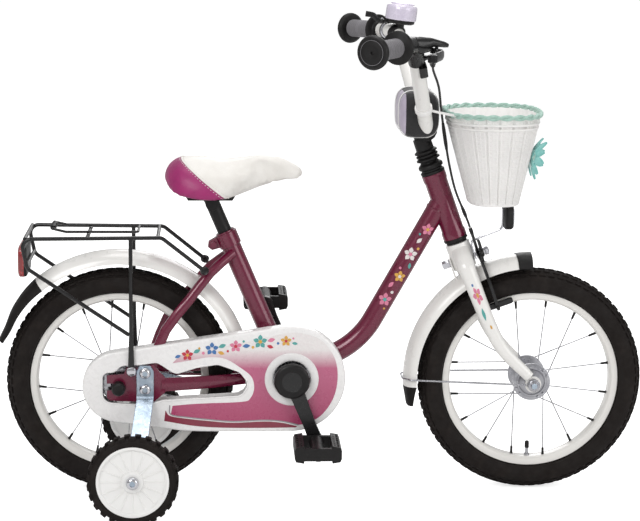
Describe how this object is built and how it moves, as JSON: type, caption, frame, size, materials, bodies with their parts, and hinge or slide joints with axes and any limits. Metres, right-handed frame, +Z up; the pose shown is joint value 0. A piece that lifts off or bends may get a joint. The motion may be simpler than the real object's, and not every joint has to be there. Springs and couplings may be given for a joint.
{
  "type": "kids bike",
  "caption": "Small child's bicycle with training wheels, closed chain case, fenders, carrier, front basket, bell and calliper brake.",
  "frame": {"origin": "On the floor, halfway along the bike and across it", "axes": "+X the way the bike rides, +Y to the rider's left, +Z up; the chain case is on the -Y side"},
  "size_m": [0.991, 0.5306, 0.7377],
  "materials": {
    "frame_paint": "deep gloss metallic",
    "white_metal": "gloss",
    "black_metal": "satin",
    "rim_paint": "painted",
    "steel": "bright",
    "zinc": "bluish zinc plate",
    "tyre_rubber": "matte",
    "black_rubber": "matte",
    "black_plastic": "satin",
    "white_plastic": "satin",
    "case_plastic": "gloss",
    "red_lens": "clear",
    "bell_paint": "pearl",
    "mint_cloth": "felt",
    "pad_fabric": "padded cover",
    "saddle_white": "smooth imitation leather",
    "saddle_magenta": "smooth imitation leather"
  },
  "bodies": {
    "frame": {"head_tube": "frame_paint", "down_tube": "frame_paint", "seat_tube": "frame_paint", "chain_stay_left": "frame_paint", "chain_stay_right": "frame_paint", "seat_stay_left": "frame_paint", "seat_stay_right": "frame_paint", "headset_lower": "black_metal", "headset_upper": "black_metal", "rear_fender": "white_metal", "rear_mud_flap": "black_rubber", "rear_rack": "black_metal", "rear_lamp": "red_lens", "chain_case": "case_plastic", "chain_case_back": "case_plastic", "chain": "steel", "rear_axle": "zinc", "training_bracket_left": "zinc", "training_bracket_right": "zinc"},
    "rear_wheel": {"rear_tyre": "tyre_rubber", "rear_rim": "rim_paint", "rear_hub": "steel"},
    "driver": {"rear_sprocket": "steel"},
    "steering": {"fork": "white_metal", "front_axle": "zinc", "front_fender": "white_metal", "front_mud_flap": "black_rubber", "front_fender_stay": "steel", "stem": "black_metal", "handlebar": "white_metal", "grip_left": "black_rubber", "grip_right": "black_rubber", "brake_lever_housing": "black_plastic", "brake_cable": "black_plastic", "bar_pad": "pad_fabric", "bell": "bell_paint", "basket": "white_plastic", "basket_flower": "mint_cloth", "front_reflector": "black_plastic", "reflector_bracket": "steel"},
    "front_wheel": {"front_tyre": "tyre_rubber", "front_rim": "rim_paint", "front_hub": "steel"},
    "brake_lever": {"brake_lever": "black_plastic"},
    "calliper_right": {"calliper_right": "black_metal"},
    "calliper_left": {"calliper_left": "black_metal"},
    "bell_lever": {"bell_lever": "black_plastic"},
    "crankset": {"chainring": "steel", "crank_left": "black_metal", "crank_right": "black_metal"},
    "pedal_right": {"pedal_right": "black_plastic"},
    "pedal_left": {"pedal_left": "black_plastic"},
    "training_wheel_right": {"training_tyre_right": "tyre_rubber", "training_disc_right": "white_plastic"},
    "training_wheel_left": {"training_tyre_left": "tyre_rubber", "training_disc_left": "white_plastic"},
    "saddle": {"saddle_top": "saddle_white", "saddle_rear": "saddle_magenta", "seatpost": "black_metal"},
    "rack_clamp": {"rack_clamp": "black_metal"}
  },
  "joints": [
    {"name": "rear_wheel_spin", "type": "hinge", "parent": "frame", "child": "rear_wheel", "pos_m": [-0.3105, 0, 0.174], "axis": [0, 1, 0], "continuous": true},
    {"name": "driver_spin", "type": "hinge", "parent": "frame", "child": "driver", "pos_m": [-0.3105, 0, 0.174], "axis": [0, 1, 0], "continuous": true},
    {"name": "crank_spin", "type": "hinge", "parent": "frame", "child": "crankset", "pos_m": [-0.0485, 0, 0.186], "axis": [0, 1, 0], "continuous": true},
    {"name": "pedal_right_spin", "type": "hinge", "parent": "crankset", "child": "pedal_right", "pos_m": [-0.01173, -0.1166, 0.09408], "axis": [0, 1, 0], "continuous": true},
    {"name": "pedal_left_spin", "type": "hinge", "parent": "crankset", "child": "pedal_left", "pos_m": [-0.08527, 0.1166, 0.27792], "axis": [0, 1, 0], "continuous": true},
    {"name": "steering_turn", "type": "hinge", "parent": "frame", "child": "steering", "pos_m": [0.20287, 0, 0.39558], "axis": [-0.3387, 0, 0.9409], "range_deg": [-45, 45]},
    {"name": "front_wheel_spin", "type": "hinge", "parent": "steering", "child": "front_wheel", "pos_m": [0.3225, 0, 0.174], "axis": [0, 1, 0], "continuous": true},
    {"name": "brake_lever_pull", "type": "hinge", "parent": "steering", "child": "brake_lever", "pos_m": [0.1545, -0.128, 0.69], "axis": [-0.1772, 0, -0.9842], "range_deg": [0, 18], "stiffness_Nm_per_rad": 0.5, "springref_deg": -5.73},
    {"name": "calliper_right_close", "type": "hinge", "parent": "steering", "child": "calliper_right", "pos_m": [0.23876, 0, 0.3697], "axis": [0.9409, 0, 0.3387], "range_deg": [0, 1.1]},
    {"name": "calliper_left_close", "type": "hinge", "parent": "steering", "child": "calliper_left", "pos_m": [0.24421, 0, 0.37167], "axis": [-0.9409, 0, -0.3387], "range_deg": [0, 1.1]},
    {"name": "bell_lever_flick", "type": "hinge", "parent": "steering", "child": "bell_lever", "pos_m": [0.0966, 0.13905, 0.71471], "axis": [0, 0, 1], "range_deg": [0, 25], "stiffness_Nm_per_rad": 0.01, "springref_deg": -5.73},
    {"name": "training_wheel_right_spin", "type": "hinge", "parent": "frame", "child": "training_wheel_right", "pos_m": [-0.2845, -0.19, 0.067], "axis": [0, 1, 0], "continuous": true},
    {"name": "training_wheel_left_spin", "type": "hinge", "parent": "frame", "child": "training_wheel_left", "pos_m": [-0.2845, 0.19, 0.067], "axis": [0, 1, 0], "continuous": true},
    {"name": "saddle_height", "type": "slide", "parent": "frame", "child": "saddle", "axis": [-0.3947, 0, 0.9188], "range_m": [-0.035, 0.06]},
    {"name": "rack_clamp_lift", "type": "hinge", "parent": "frame", "child": "rack_clamp", "pos_m": [-0.4085, 0, 0.413], "axis": [0, -1, 0], "range_deg": [0, 70], "stiffness_Nm_per_rad": 0.3, "springref_deg": -11.46}
  ],
  "couplings": [
    {"joint": "driver_spin", "follows": "crank_spin", "ratio": 2},
    {"joint": "calliper_right_close", "follows": "brake_lever_pull", "ratio": 0.06},
    {"joint": "calliper_left_close", "follows": "brake_lever_pull", "ratio": 0.06}
  ]
}
